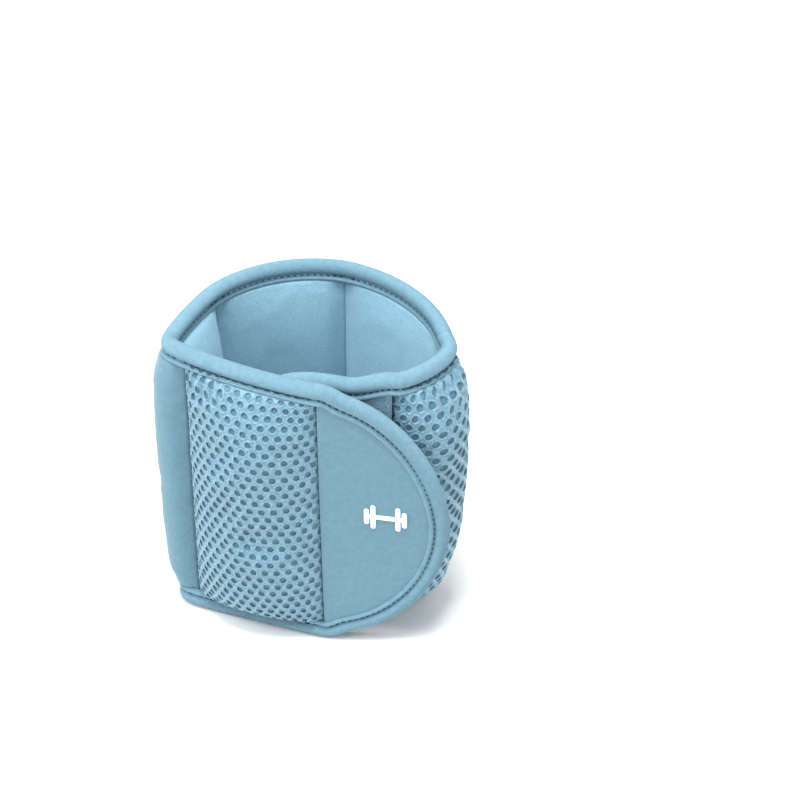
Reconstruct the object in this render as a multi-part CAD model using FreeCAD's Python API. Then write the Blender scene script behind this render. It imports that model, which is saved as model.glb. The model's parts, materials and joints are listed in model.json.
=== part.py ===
import FreeCAD, Part
import math
import os

# Ankle cuff weight, wrapped and standing on its lower edge. Millimetres, +Z up.
# A padded strip of seven panels goes round the ankle. Neighbouring panels meet at upright
# sewn seams, which are the strip's hinges. In order along the strip the panels are the plain
# inner tab, five weight pockets and the plain outer tab, which laps over the first pocket.

# Strip and layers
HEIGHT = 115.0  # width of the strip, upright here
LAYER = 2.0  # neoprene sheet
MESH_LAYER = 1.6  # spacer mesh over its backing cloth
BAG_FILM = 0.5  # wall of a sand bag
PATCH_LAYER = 1.1  # hook or loop patch
SEAM_GAP = 0.2  # each panel stops this far short of its seam line
FLANGE = 2.4  # flat margin beside a seam, where the thread runs

# Pockets
FULLNESS = 1.35  # above 1, the sides of a pocket are steep and its faces follow the strip's curve
WAIST = 1.2  # half thickness where a pocket starts to swell
SLOPE = 0.7  # height over which a pocket gains one unit of bulge

# Edge binding
ROLL_RADIUS = 3.7
ROLL_HEIGHT = 3.5  # centre of the roll above the strip's edge, so its underside is a narrow flat
SLOT_FLOOR = 2.5  # the layers' edges sit this deep in the binding
LIP = 7.4  # the pockets start to swell this far from the strip's edge
TAB_ROLL = 3.5  # half thickness of the binding round a tab
TAB_LAP = 6.4  # how far that binding laps onto the tab

# Thread
THREAD = 0.9
STITCH = 2.8
STITCH_PITCH = 4.2
THREAD_TILT = 28.0  # where the thread groove lies on the roll, degrees above level

# Seam lines in plan, from the inner tab's tip to the outer tab's tip
SEAMS = [
    (-20.32, -5.45),
    (29.45, -30.55),
    (46.68, -6.45),
    (12.68, 34.55),
    (-32.32, 20.05),
    (-39.82, -14.95),
    (4.68, -36.35),
    (47.85, -39.35),
]

# Panels along the strip: name, rise of the arc above its chord, bulge out, bulge in, mesh face
PANELS = [
    ("inner_tab", 3.0, 0.0, 0.0, False),
    ("right", 7.2, 9.0, 4.5, True),
    ("rear_right", 7.0, 7.0, 4.5, False),
    ("rear", 7.3, 7.0, 4.5, True),
    ("left", 8.5, 10.5, 4.5, False),
    ("front", 1.0, 7.0, 4.0, True),
    ("outer_tab", 0.6, 0.0, 0.0, False),
]

# Tabs: length of the rounded end along the chord, margin of the patch inside the tab's outline
INNER_TAB_ROUND = 54.0
OUTER_TAB_ROUND = 42.5
PATCH_MARGIN = 13.0

# Printed emblem: a plain dumbbell
EMBLEM_LENGTH = 15.0
EMBLEM_BAR = 1.5
EMBLEM_FILM = 0.3
EMBLEM_PLATES = [(4.2, 10.0), (6.4, 6.4)]  # distance from the middle, height
EMBLEM_PLATE_WIDTH = 1.7
EMBLEM_HEIGHT = 60.5  # of its middle

# Reach of a panel's own space, beyond anything in it
REACH_OUT = 30.0
REACH_IN = 14.0
FREE_END = 12.0

UP = FreeCAD.Vector(0, 0, 1)


def heading(index):
    """Direction of a panel's chord in plan, in degrees."""
    (x0, y0), (x1, y1) = SEAMS[index], SEAMS[index + 1]
    return math.degrees(math.atan2(y1 - y0, x1 - x0))


def prism(points, low, high):
    """Upright prism over a closed outline of points in plan."""
    corners = [FreeCAD.Vector(x, y, low) for x, y in points]
    face = Part.Face(Part.makePolygon(corners + corners[:1]))
    return face.extrude(UP * (high - low))


class Panel:
    """A stretch of the strip between two seams. It is drawn in its own frame: X along the
    chord, back towards the inner tab, Y outwards, Z up. Its middle surface is an upright
    cylinder through both seam lines."""

    def __init__(self, index):
        self.name, self.rise, self.out, self.inn, self.mesh = PANELS[index]
        (x0, y0), (x1, y1) = SEAMS[index], SEAMS[index + 1]
        self.chord = math.hypot(x1 - x0, y1 - y0)
        self.radius = (self.chord**2 / 4 + self.rise**2) / (2 * self.rise)
        self.axis = FreeCAD.Vector(0, self.rise - self.radius, 0)
        middle = FreeCAD.Vector((x0 + x1) / 2, (y0 + y1) / 2, 0)
        turned = FreeCAD.Rotation(UP, heading(index) + 180)
        self.placement = FreeCAD.Placement(middle, turned)
        first, last = index == 0, index == len(PANELS) - 1
        self.turn_start = None if first else (heading(index) - heading(index - 1)) % 360
        self.turn_end = None if last else (heading(index + 1) - heading(index)) % 360
        self.space = self.own_space()

    def own_space(self):
        """The prism the panel keeps to. It is square to the chord outside the seam line, so
        that the strip can lie flat, and mitred inside it, so that the strip can be wrapped."""
        near = self.chord / 2 - SEAM_GAP
        free = self.chord / 2 + FREE_END
        start_in = free if self.turn_start is None else near - self.mitre(self.turn_start)
        end_in = free if self.turn_end is None else near - self.mitre(self.turn_end)
        start = free if self.turn_start is None else near
        end = free if self.turn_end is None else near
        outline = [
            (start, REACH_OUT),
            (-end, REACH_OUT),
            (-end, 0),
            (-end_in, -REACH_IN),
            (start_in, -REACH_IN),
            (start, 0),
        ]
        return prism(outline, 0, HEIGHT)

    def mitre(self, turn):
        return REACH_IN * math.tan(math.radians(turn / 2))

    def at(self, angle, offset=0.0, z=0.0):
        """Point at an angle from the panel's middle, offset outwards from its middle surface."""
        a = math.radians(angle)
        r = self.radius + offset
        return self.axis + FreeCAD.Vector(r * math.sin(a), r * math.cos(a), z)

    def angle_of(self, x, offset=0.0):
        """Angle at which a surface offset from the middle surface stands over x."""
        return math.degrees(math.asin(x / (self.radius + offset)))

    def turned_face(self, wire, angle=0.0):
        face = Part.Face(wire)
        face.rotate(self.axis, UP, -angle)
        return face

    def ring(self, outline):
        """Full turn of an outline of (offset, height) points round the panel's axis."""
        points = [self.at(0, offset, z) for offset, z in outline]
        wire = Part.makePolygon(points + points[:1])
        return self.turned_face(wire).revolve(self.axis, UP, 360)

    def band(self, inner, outer, low, high):
        """Layer between two offsets from the middle surface."""
        return self.ring([(inner, low), (outer, low), (outer, high), (inner, high)])

    def half(self, side):
        """The space outside (side 1) or inside (side -1) the middle surface."""
        far = REACH_OUT if side > 0 else -min(REACH_OUT, self.radius - 1)
        return self.band(min(0, far), max(0, far), 0, HEIGHT)

    def own(self, shape):
        return shape.common(self.space)


def lens(panel, out, inn, margin, lip):
    """Swelling pillow between the seams of a pocket: an upright lens, narrowed towards the
    strip's two edges."""
    x = panel.chord / 2 - SEAM_GAP - margin
    tip = panel.angle_of(x, LAYER)
    left, right = panel.at(-tip), panel.at(tip)
    outer = Part.Arc(left, panel.at(0, out * FULLNESS), right).toShape()
    inner = Part.Arc(right, panel.at(0, -inn * FULLNESS), left).toShape()
    body = Part.Face(Part.Wire([outer, inner])).extrude(UP * HEIGHT)
    low, high = lip, HEIGHT - lip
    profile = [
        (-WAIST, low),
        (WAIST, low),
        (out, low + out * SLOPE),
        (out, high - out * SLOPE),
        (WAIST, high),
        (-WAIST, high),
        (-inn, high - inn * SLOPE),
        (-inn, low + inn * SLOPE),
    ]
    return body.common(panel.ring(profile))


def roll_ring(panel, low_edge):
    """Binding roll along a pocket's edge, with the slot for the layers and the thread groove."""
    centre = ROLL_HEIGHT if low_edge else HEIGHT - ROLL_HEIGHT
    inward = 1 if low_edge else -1
    circle = Part.makeCircle(ROLL_RADIUS, panel.at(0, 0, centre), FreeCAD.Vector(1, 0, 0))
    roll = panel.turned_face(Part.Wire(circle)).revolve(panel.axis, UP, 360)
    floor = SLOT_FLOOR if low_edge else HEIGHT - SLOT_FLOOR
    mouth = floor + inward * 2 * ROLL_RADIUS
    slot = panel.band(-LAYER, LAYER, min(floor, mouth), max(floor, mouth))
    groove = thread_face(panel, low_edge, 0).revolve(panel.axis, UP, 360)
    return roll.cut(slot).cut(groove)


def thread_face(panel, low_edge, angle):
    """Section of the thread that runs in the roll's groove."""
    tilt = math.radians(THREAD_TILT)
    inward = 1 if low_edge else -1
    centre = ROLL_HEIGHT if low_edge else HEIGHT - ROLL_HEIGHT
    offset = ROLL_RADIUS * math.cos(tilt)
    z = centre + inward * ROLL_RADIUS * math.sin(tilt)
    circle = Part.makeCircle(THREAD / 2, panel.at(0, offset, z), FreeCAD.Vector(1, 0, 0))
    return panel.turned_face(Part.Wire(circle), angle)


def roll_stitches(panel):
    """Stitches along both edges of a pocket, each a short turn of the thread in its groove."""
    reach = panel.radius + ROLL_RADIUS
    pitch = math.degrees(STITCH_PITCH / reach)
    sweep = math.degrees(STITCH / reach)
    limit = panel.angle_of(panel.chord / 2 - SEAM_GAP - THREAD, ROLL_RADIUS)
    count = int((2 * limit + pitch - sweep) / pitch)
    first = -(count * pitch - (pitch - sweep)) / 2
    solids = []
    for low_edge in (True, False):
        for k in range(count):
            face = thread_face(panel, low_edge, first + k * pitch)
            solids.append(face.revolve(panel.axis, UP, -sweep))
    return Part.makeCompound(solids)


def seam_stitches(panel, side):
    """Upright row of stitches in the flat margin beside a seam: side 1 is the panel's start."""
    x = panel.chord / 2 - SEAM_GAP - FLANGE / 2
    angle = side * panel.angle_of(x, LAYER)
    solids = []
    count = int((HEIGHT - 2 * LIP) / STITCH_PITCH)
    first = (HEIGHT - count * STITCH_PITCH + STITCH_PITCH - STITCH) / 2
    for k in range(count):
        corner = panel.at(0, LAYER - THREAD / 2, first + k * STITCH_PITCH)
        box = Part.makeBox(THREAD, THREAD, STITCH, corner - FreeCAD.Vector(THREAD / 2, 0, 0))
        box.rotate(panel.axis, UP, -angle)
        solids.append(box)
    return Part.makeCompound(solids)


def pocket(panel, seam_sides):
    """One weight pocket as {piece: shape}: lining, face, bag, filling, bindings and threads."""
    bag = lens(panel, panel.out - LAYER, panel.inn - LAYER, FLANGE + 1.6, LIP + 2.0)
    inside = BAG_FILM + LAYER
    fill = lens(panel, panel.out - inside, panel.inn - inside, FLANGE + 2.4, LIP + 2.8)
    body = lens(panel, panel.out, panel.inn, FLANGE, LIP)
    sheet = panel.band(-LAYER, LAYER, SLOT_FLOOR, HEIGHT - SLOT_FLOOR)
    padded = panel.own(sheet.fuse(body)).cut(bag)
    cover = padded.common(panel.half(1))
    threads = {side: seam_stitches(panel, side) for side in seam_sides}
    for thread in threads.values():
        cover = cover.cut(thread)
    pieces = {"lining": padded.common(panel.half(-1)), "sand_bag": bag.cut(fill), "iron_sand": fill}
    if panel.mesh:
        under = lens(panel, panel.out - MESH_LAYER, panel.inn, FLANGE + 0.8, LIP + 1.0)
        pieces["mesh_backing"] = panel.own(cover.common(under))
        pieces["mesh_face"] = cover.cut(under)
    else:
        pieces["cover"] = cover
    pieces["binding_bottom"] = panel.own(roll_ring(panel, True))
    pieces["binding_top"] = panel.own(roll_ring(panel, False))
    pieces["binding_stitches"] = roll_stitches(panel)
    for side, thread in threads.items():
        pieces["seam_thread" if side > 0 else "end_seam_thread"] = thread
    return pieces


def tab_outline(panel, inset, rounded, seam_side):
    """Prism, square to the chord, of a tab's outline drawn in by an inset: straight edges from
    the seam, then half an ellipse to the tip."""
    centre_x = seam_side * (rounded - panel.chord / 2)
    middle = FreeCAD.Vector(centre_x, -REACH_OUT, HEIGHT / 2)
    tall, deep = HEIGHT / 2 - inset, rounded - inset
    seam_x = seam_side * (panel.chord / 2 + FREE_END)
    top = middle + UP * tall
    bottom = middle - UP * tall
    tip = middle - FreeCAD.Vector(seam_side * deep, 0, 0)
    ellipse = Part.Ellipse(top, tip, middle)
    arc = Part.Edge(ellipse, 0, math.pi)
    ends = [v.Point for v in arc.Vertexes]
    seam_ends = [FreeCAD.Vector(seam_x, p.y, p.z) for p in ends]
    lines = [
        Part.makeLine(ends[1], seam_ends[1]),
        Part.makeLine(seam_ends[1], seam_ends[0]),
        Part.makeLine(seam_ends[0], ends[0]),
    ]
    face = Part.Face(Part.Wire([arc] + lines))
    return face.extrude(FreeCAD.Vector(0, 2 * REACH_OUT, 0))


def fan(panel, rounded, seam_side):
    """Blades from the middle of the tab's rounded end, which chop a thread into stitches."""
    centre_x = seam_side * (rounded - panel.chord / 2)
    count = int(math.pi * (rounded + HEIGHT / 2) / 2 / STITCH_PITCH)
    step = math.pi / count
    share = STITCH / STITCH_PITCH
    middle = FreeCAD.Vector(centre_x, 0, HEIGHT / 2)
    blades = []
    for k in range(count):
        angles = [(k + 0.5 + half * share / 2) * step for half in (-1, 1)]
        points = [middle]
        for a in angles:
            points.append(middle + FreeCAD.Vector(-seam_side * math.sin(a), 0, math.cos(a)) * HEIGHT)
        face = Part.Face(Part.makePolygon(points + points[:1]))
        blades.append(face.extrude(FreeCAD.Vector(0, REACH_OUT, 0)))
    return Part.makeCompound(blades)


def emblem(panel):
    """Printed dumbbell, lying on the outer tab's cover."""
    film = panel.band(LAYER, LAYER + EMBLEM_FILM, 0, HEIGHT)
    shape = emblem_block(EMBLEM_LENGTH, EMBLEM_BAR, 0)
    for distance, height in EMBLEM_PLATES:
        for x in (-distance, distance):
            shape = shape.fuse(emblem_block(EMBLEM_PLATE_WIDTH, height, x))
    return film.common(shape)


def emblem_block(width, height, x):
    corner = FreeCAD.Vector(x - width / 2, 0, EMBLEM_HEIGHT - height / 2)
    return Part.makeBox(width, REACH_OUT, height, corner)


def tab(panel, rounded, seam_side, patch_side, patch_name):
    """One end tab as {piece: shape}: cover, lining, patch, binding and its stitches. The seam
    is at the panel's start (seam_side 1) or end (-1), the patch outside (1) or inside (-1)."""

    def outline(inset):
        return tab_outline(panel, inset, rounded, seam_side)

    sheet = outline(SLOT_FLOOR)
    cover = panel.own(panel.band(0, LAYER, 0, HEIGHT).common(sheet))
    lining = panel.own(panel.band(-LAYER, 0, 0, HEIGHT).common(sheet))
    layers = (LAYER, LAYER + PATCH_LAYER) if patch_side > 0 else (-LAYER - PATCH_LAYER, -LAYER)
    near = seam_side * (panel.chord / 2 - SEAM_GAP - PATCH_MARGIN / 2)
    past_tip = -seam_side * (panel.chord / 2 + FREE_END)
    corners = [(near, -REACH_OUT), (past_tip, -REACH_OUT), (past_tip, REACH_OUT), (near, REACH_OUT)]
    patch_space = outline(PATCH_MARGIN).common(prism(corners, 0, HEIGHT))
    patch = panel.band(*layers, 0, HEIGHT).common(patch_space)
    roll = panel.band(-TAB_ROLL, TAB_ROLL, 0, HEIGHT).common(outline(0)).cut(outline(TAB_LAP))
    roll = roll.cut(panel.band(-LAYER, LAYER, 0, HEIGHT).common(sheet))
    groove = panel.band(TAB_ROLL - THREAD / 2, TAB_ROLL + THREAD / 2, 0, HEIGHT)
    groove = groove.common(outline(TAB_LAP - 2 * THREAD)).cut(outline(TAB_LAP - THREAD))
    return {
        "cover": cover,
        "lining": lining,
        patch_name: patch,
        "binding": panel.own(roll.cut(groove)),
        "binding_stitches": panel.own(groove.common(fan(panel, rounded, seam_side))),
    }


def write(panel, pieces):
    """Writes each piece in the cuff's own frame."""
    for piece, shape in pieces.items():
        shape = shape.copy()
        shape.Placement = panel.placement.multiply(shape.Placement)
        solids = shape.Solids
        kept = solids[0] if len(solids) == 1 else Part.makeCompound(solids)
        name = panel.name + "_" + piece
        kept.exportStep("parts/" + name + ".step")
        print(name, len(solids), round(kept.Volume, 1), kept.isValid())


def main():
    os.makedirs("parts", exist_ok=True)
    panels = [Panel(index) for index in range(len(PANELS))]
    inner_tab, outer_tab = panels[0], panels[-1]
    write(inner_tab, tab(inner_tab, INNER_TAB_ROUND, -1, 1, "loop_patch"))
    for panel in panels[1:-1]:
        sides = (1, -1) if panel.name == "front" else (1,)
        write(panel, pocket(panel, sides))
    pieces = tab(outer_tab, OUTER_TAB_ROUND, 1, -1, "hook_patch")
    pieces["emblem"] = emblem(outer_tab)
    write(outer_tab, pieces)


main()
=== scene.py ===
import json
import math

import bmesh
import bpy
import numpy as np
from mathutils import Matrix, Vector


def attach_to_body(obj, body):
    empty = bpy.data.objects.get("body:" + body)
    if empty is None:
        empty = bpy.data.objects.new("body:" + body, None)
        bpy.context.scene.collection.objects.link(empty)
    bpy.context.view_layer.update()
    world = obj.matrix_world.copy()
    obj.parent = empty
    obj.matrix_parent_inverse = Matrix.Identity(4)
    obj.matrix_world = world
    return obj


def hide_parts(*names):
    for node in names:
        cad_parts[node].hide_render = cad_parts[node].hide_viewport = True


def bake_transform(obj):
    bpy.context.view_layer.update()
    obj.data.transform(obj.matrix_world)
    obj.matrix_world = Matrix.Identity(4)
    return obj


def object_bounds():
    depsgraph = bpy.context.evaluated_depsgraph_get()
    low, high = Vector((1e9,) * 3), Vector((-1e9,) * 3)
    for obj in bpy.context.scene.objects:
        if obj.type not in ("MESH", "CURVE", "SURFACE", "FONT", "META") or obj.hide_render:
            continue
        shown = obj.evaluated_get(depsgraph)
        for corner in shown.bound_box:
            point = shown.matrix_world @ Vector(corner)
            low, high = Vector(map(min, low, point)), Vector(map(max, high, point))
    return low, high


# Ankle cuff weight, wrapped and standing on its lower edge. Everything below is worked out in
# millimetres in the part's own frame and written to meshes in metres.

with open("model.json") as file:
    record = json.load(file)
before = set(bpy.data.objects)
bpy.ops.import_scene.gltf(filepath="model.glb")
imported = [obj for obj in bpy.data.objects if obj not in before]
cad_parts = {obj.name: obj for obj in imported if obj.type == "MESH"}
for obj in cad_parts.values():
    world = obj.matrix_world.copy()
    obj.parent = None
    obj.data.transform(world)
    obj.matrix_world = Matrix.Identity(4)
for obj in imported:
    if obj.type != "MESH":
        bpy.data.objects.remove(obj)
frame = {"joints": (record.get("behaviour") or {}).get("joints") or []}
CAD_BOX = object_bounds()

MM = 0.001
TOP_GAP = 0.8  # the soft roll's top sits a little under the CAD's
HEIGHT = CAD_BOX[1].z / MM - TOP_GAP

# Binding: a fat ribbed roll, a stitched groove and a thin lip on both faces of the strip
ROLL = 2.72  # radius
ROLL_DEPTH = 2.8  # of the roll's middle below the strip's edge
GROOVE_DEPTH = 2.65  # of the groove below the roll's middle
LIP_DEPTH = 3.85
LIP_RADIUS = 0.8
LIP_OUT = 1.75  # of the lip's middle from the middle of the strip
ROLL_SPAN = (-48, 228)  # degrees of its section that the roll takes
LIP_SPAN = (120, 290)
RIB_STEP = 0.3  # half of a rib
RIB_RISE = 0.09
RIB_SLANT = 0.42  # way along the strip for each millimetre down the roll

# Stitches
STITCH_OUT = 1.72  # from the middle of the strip to the stitches in the groove
STITCH_UP = 0.1  # of them from the bottom of the groove
SEAM_SUNK = 0.95  # the stitches of a seam lie this much nearer the middle of the strip

# Pockets
PINCH = 0.55  # half thickness at a seam
UNDER_LIP = 1.3  # offset of a sheet where the lip presses on it
UNDER_LIP_REACH = 6.0  # from a seam to where that offset is whole
SHEET = 1.3
FACE_EDGE = ROLL_DEPTH + LIP_DEPTH + 0.6  # a pocket's faces are free beyond this depth
# A face's profile is a superellipse. These are its powers, outside (1) and inside (-1)
ACROSS_POWER = {1: 2.1, -1: 3.4}
UP_POWER = {1: 5.5, -1: 3.2}
FRONT_UP_POWER = 4.4  # the front pocket has rounder shoulders outside
SHOULDER = 0.84  # share of the swell near the top and the foot
THINNEST = 0.6  # folds leave at least this share of the pinch
UNEVEN = {1: 0.08, -1: 0.03}  # share by which the swell wanders
FACE_COLUMNS = 49
FACE_ROWS = 73
LIP_ROWS = 4  # rows of a face under each lip
FRONT_GAP = 0.2  # least distance of a sheet's front from the strip's middle
BACK_GAP = 0.08  # and of its back

# Cloth runs
CLOTH_CELL = 2.2
CLOTH_FRAMES = 22
CLOTH_START = 0.85  # share of the plain swell that a run starts from
CLOTH_CREASE = 0.3
FOLD_LIMIT = 1.2
FOLD_SHARE = {1: 0.7, -1: 0.3}  # how much of the folds is kept, outside and inside

# Air mesh
HOLE_PITCH = 3.95
ROW_PITCH = 3.45
HOLE_WIDE = 1.14  # half widths of a hole
HOLE_TALL = 1.36
STRAND_RISE = 0.75
NET_SUNK = 0.4  # the net's own level, which its heights start from, below a pocket's face
NET_UNDER = 1.2  # thickness of the net below its own level
BACKING_DROP = 0.45  # of the backing cloth below a pocket's face
FIRST_HOLE = 0.4  # of the first column of holes from the seam
FIRST_ROW = 0.15  # of the first row from the foot, in rows
REGULAR = 0.866  # rows of a regular net are this share of its pitch apart
CORNER_PIT = 0.3  # depth of the little pit where three cells meet, as a share of the rise
NET_EDGE = 0.15  # from a seam to the net
NET_THIN = 4.0  # the net gets thinner this near a seam
ROW_SAG = 1.6  # rows of holes hang lower in the middle of a pocket
GATHER_STEP = 3.6  # the mesh is gathered into small pleats under the top binding
GATHER_RISE = 0.75
GATHER_DEEP = 14.0
GATHER_FROM = 13.0  # where the front pocket's gathers begin to fade
GATHER_FADE = 12.0
GATHER_PULL = 4.0  # how far the gathers draw the top holes out
PLEAT_WANDER = 0.8

# Tabs
TAB_SHEET = 1.5
TAB_CORE = 0.05  # least distance of a tab's sheets from its middle surface
TAB_COLUMNS = 41
TAB_ROWS = 57
PATCH_INSET = 9.5  # from the middle of the roll to a hook or loop patch
PATCH_START = 7.0  # from the seam
PATCH_POWER = 2.6  # roundness of its end
PATCH_RISE = 1.2  # of its face above the tab's sheet

# The root panel: its pieces are attached to a body of their own
ROOT = 3  # index of the root panel

# How finely a line is worked out, and how far its corners are eased, in points
SAMPLES = 120  # steps of a panel's line
CORNER_EASE = 40
TURN_EASE = 60
SEAM_EASE = 60


def joint_plan(name):
    """Where a joint's upright axis stands in plan."""
    found = next(j for j in frame["joints"] if j["name"] == name)
    return np.array(found["pos_m"][:2]) / MM


# Plan of the strip's middle: the seams and, past them, the tips of the tabs
INNER_TIP = np.array((-20.32, -5.45))
OUTER_TIP = np.array((48.6, -39.4))
SEAM = [
    INNER_TIP,
    joint_plan("inner_tab_seam"),
    joint_plan("right_seam"),
    joint_plan("rear_right_seam"),
    joint_plan("unwrap"),
    joint_plan("left_front_seam"),
    joint_plan("outer_tab_peel"),
    OUTER_TIP,
]
# Where the seams stand at the floor: the lower front is tucked in
SEAM_LOW = list(SEAM)
SEAM_LOW[1] = np.array((22.0, -21.5))  # inner tab and right pocket
SEAM_LOW[2] = np.array((41.5, -1.0))  # right and rear right pockets
SEAM_LOW[6] = np.array((5.6, -31.0))  # front pocket and outer tab
SEAM_LOW[7] = np.array((48.6, -33.4))  # outer tab's tip
# How that tuck gathers towards the floor at each seam: 1 is a straight lean
TUCK = np.array((1.0, 2.2, 2.5, 1.0, 1.0, 1.0, 1.0, 1.0))

# The top edge of the right pocket turns a tight corner
RIGHT_TOP = [(33.1, -29.9), (40.3, -25.0), (45.6, -19.0), (48.5, -12.6)]
# The left pocket bends at one line, and is nearly straight in front of it
LEFT_CORNER = np.array((-46.3, -9.95))
LEFT_CORNER_LOW = np.array((-45.1, -12.4))
LEFT_RISE = 1.2
LEFT_RISE_FRONT = 0.05


# ---------------------------------------------------------------- lines in plan


def arc(a, b, rise):
    """Points of the arc from a to b that swells to the right of the way by rise."""
    chord = np.linalg.norm(b - a)
    along = (b - a) / chord
    out = np.array((along[1], -along[0]))
    half = 2 * math.atan(2 * rise / chord)
    radius = chord / (2 * math.sin(half))
    angle = np.linspace(-half, half, SAMPLES + 1)
    x = radius * np.sin(angle) + chord / 2
    y = radius * (np.cos(angle) - math.cos(half))
    return a + np.outer(x, along) + np.outer(y, out)


def even(points, count):
    """The same line with evenly spaced points."""
    step = np.linalg.norm(np.diff(points, axis=0), axis=1)
    way = np.concatenate(([0], np.cumsum(step)))
    target = np.linspace(0, way[-1], count)
    return np.stack([np.interp(target, way, points[:, k]) for k in range(points.shape[1])], 1)


def eased(points, reach):
    """The line with its corners eased over about that many points, ends kept."""
    out = points.copy()
    for _ in range(reach):
        out[1:-1] = (out[:-2] + 2 * out[1:-1] + out[2:]) / 4
    return out


def cornered(a, corner, b):
    """Two shallow arcs that meet at an eased corner."""
    line = np.concatenate((arc(a, corner, LEFT_RISE), arc(corner, b, LEFT_RISE_FRONT)[1:]))
    return eased(even(line, SAMPLES + 1), CORNER_EASE)


def turned(a, points, b):
    """A smooth turn from a to b past the points."""
    line = even(np.array([a, *points, b]), SAMPLES + 1)
    return even(eased(line, TURN_EASE), SAMPLES + 1)


def swollen(a, b, rise):
    """One shallow arc."""
    return even(arc(a, b, rise), SAMPLES + 1)


def way_length(points):
    return np.linalg.norm(np.diff(points, axis=0), axis=1).sum()


class Panel:
    """A stretch of the strip between two seams: its middle surface is ruled between a line at
    the top edge and one at the floor. A pocket's faces stand out by out and inn, and settle
    above 1 lets the sand hang low. s runs from its seam nearer the inner tab's tip."""

    def __init__(self, name, index, top, low, out=0.0, inn=0.0, settle=1.0):
        self.name, self.index, self.top, self.low = name, index, top, low
        self.out, self.inn, self.settle = out, inn, settle
        self.length = way_length(top)

    def middle(self, s, z):
        """Plan points of the strip's middle at s, which may run into the next panels."""
        t = s / self.length
        at = np.clip((self.index + t) * SAMPLES, 0, len(TOP) - 1.001)
        k = at.astype(int)
        f = (at - k)[..., None]
        knot = np.clip(self.index + t, 0, len(TUCK) - 1.001)
        j = knot.astype(int)
        power = TUCK[j] + (knot - j) * (TUCK[j + 1] - TUCK[j])
        low = ((1 - np.clip(z / HEIGHT, 0, 1)) ** power)[..., None]
        top_line = TOP[k] * (1 - f) + TOP[k + 1] * f
        low_line = LOW[k] * (1 - f) + LOW[k + 1] * f
        return top_line * (1 - low) + low_line * low

    def place(self, s, o, z):
        """Points at s along the panel, o out of its middle surface, z up."""
        s, o, z = np.broadcast_arrays(*[np.asarray(v, float) for v in (s, o, z)])
        near = 0.8  # the direction is taken over a short stretch, so it turns smoothly
        ahead, back = self.middle(s + near, z), self.middle(s - near, z)
        way = ahead - back
        way /= np.linalg.norm(way, axis=-1, keepdims=True)
        out = np.stack((way[..., 1], -way[..., 0]), -1)
        flat = self.middle(s, z) + out * o[..., None]
        return np.concatenate((flat, z[..., None]), -1)


PANELS = [
    Panel("inner_tab", 0, swollen(*SEAM[0:2], 3.0), swollen(*SEAM_LOW[0:2], 3.0)),
    Panel("right", 1, turned(SEAM[1], RIGHT_TOP, SEAM[2]), swollen(*SEAM_LOW[1:3], 2.6),
          out=9.5, inn=4.0, settle=1.5),
    Panel("rear_right", 2, swollen(*SEAM[2:4], 7.0), swollen(*SEAM_LOW[2:4], 7.0),
          out=7.0, inn=4.6),
    Panel("rear", 3, swollen(*SEAM[3:5], 6.8), swollen(*SEAM_LOW[3:5], 7.3),
          out=8.0, inn=5.0),
    Panel("left", 4, cornered(SEAM[4], LEFT_CORNER, SEAM[5]),
          cornered(SEAM_LOW[4], LEFT_CORNER_LOW, SEAM_LOW[5]), out=8.5, inn=9.5),
    Panel("front", 5, swollen(*SEAM[5:7], 1.8), swollen(*SEAM_LOW[5:7], 0.6),
          out=10.8, inn=3.8, settle=1.3),
    Panel("outer_tab", 6, swollen(*SEAM[6:8], 0.6), swollen(*SEAM_LOW[6:8], 0.6)),
]
# The whole strip's top and floor lines, eased where panels meet
TOP = eased(np.concatenate([p.top[:-1] for p in PANELS] + [PANELS[-1].top[-1:]]), SEAM_EASE)
LOW = eased(np.concatenate([p.low[:-1] for p in PANELS] + [PANELS[-1].low[-1:]]), SEAM_EASE)
POCKETS = PANELS[1:-1]
MESHED = ("right", "rear", "front")


# ---------------------------------------------------------------- smooth noise


def smoothstep(x):
    x = np.clip(x, 0, 1)
    return x * x * (3 - 2 * x)


def noise(x, y, seed, size):
    """Smooth repeatable noise from -1 to 1 with features of about that size."""
    cells = 64
    draw = np.random.default_rng(seed)
    table = draw.uniform(-1, 1, (cells, cells))
    u, v = x / size, y / size
    i, j = np.floor(u).astype(int), np.floor(v).astype(int)
    f, g = smoothstep(u - i), smoothstep(v - j)
    i, j, right, up = i % cells, j % cells, (i + 1) % cells, (j + 1) % cells
    below = table[i, j] * (1 - f) + table[right, j] * f
    above = table[i, up] * (1 - f) + table[right, up] * f
    return below * (1 - g) + above * g


# ---------------------------------------------------------------- materials


SHEEN_ROUGHNESS = 0.45
SHEEN_TINT = (0.75, 0.93, 1.0, 1)
GRAIN_DETAIL = 4.0
RAMP_LOW = 0.35
RAMP_HIGH = 0.65


def material(name, colour, roughness, sheen=0.0, specular=0.3):
    """A plain principled material, its node tree and its shader."""
    made = bpy.data.materials.new(name)
    made.use_nodes = True
    tree = made.node_tree
    shader = tree.nodes["Principled BSDF"]
    shader.inputs["Base Color"].default_value = (*colour, 1)
    shader.inputs["Roughness"].default_value = roughness
    shader.inputs["Sheen Weight"].default_value = sheen
    shader.inputs["Sheen Roughness"].default_value = SHEEN_ROUGHNESS
    shader.inputs["Sheen Tint"].default_value = SHEEN_TINT
    shader.inputs["Specular IOR Level"].default_value = specular
    return made, tree, shader


def linear(r, g, b):
    """sRGB 0-255 to linear."""
    return tuple(
        (v / 255 / 12.92) if v / 255 < 0.04045 else ((v / 255 + 0.055) / 1.055) ** 2.4
        for v in (r, g, b)
    )


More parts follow.
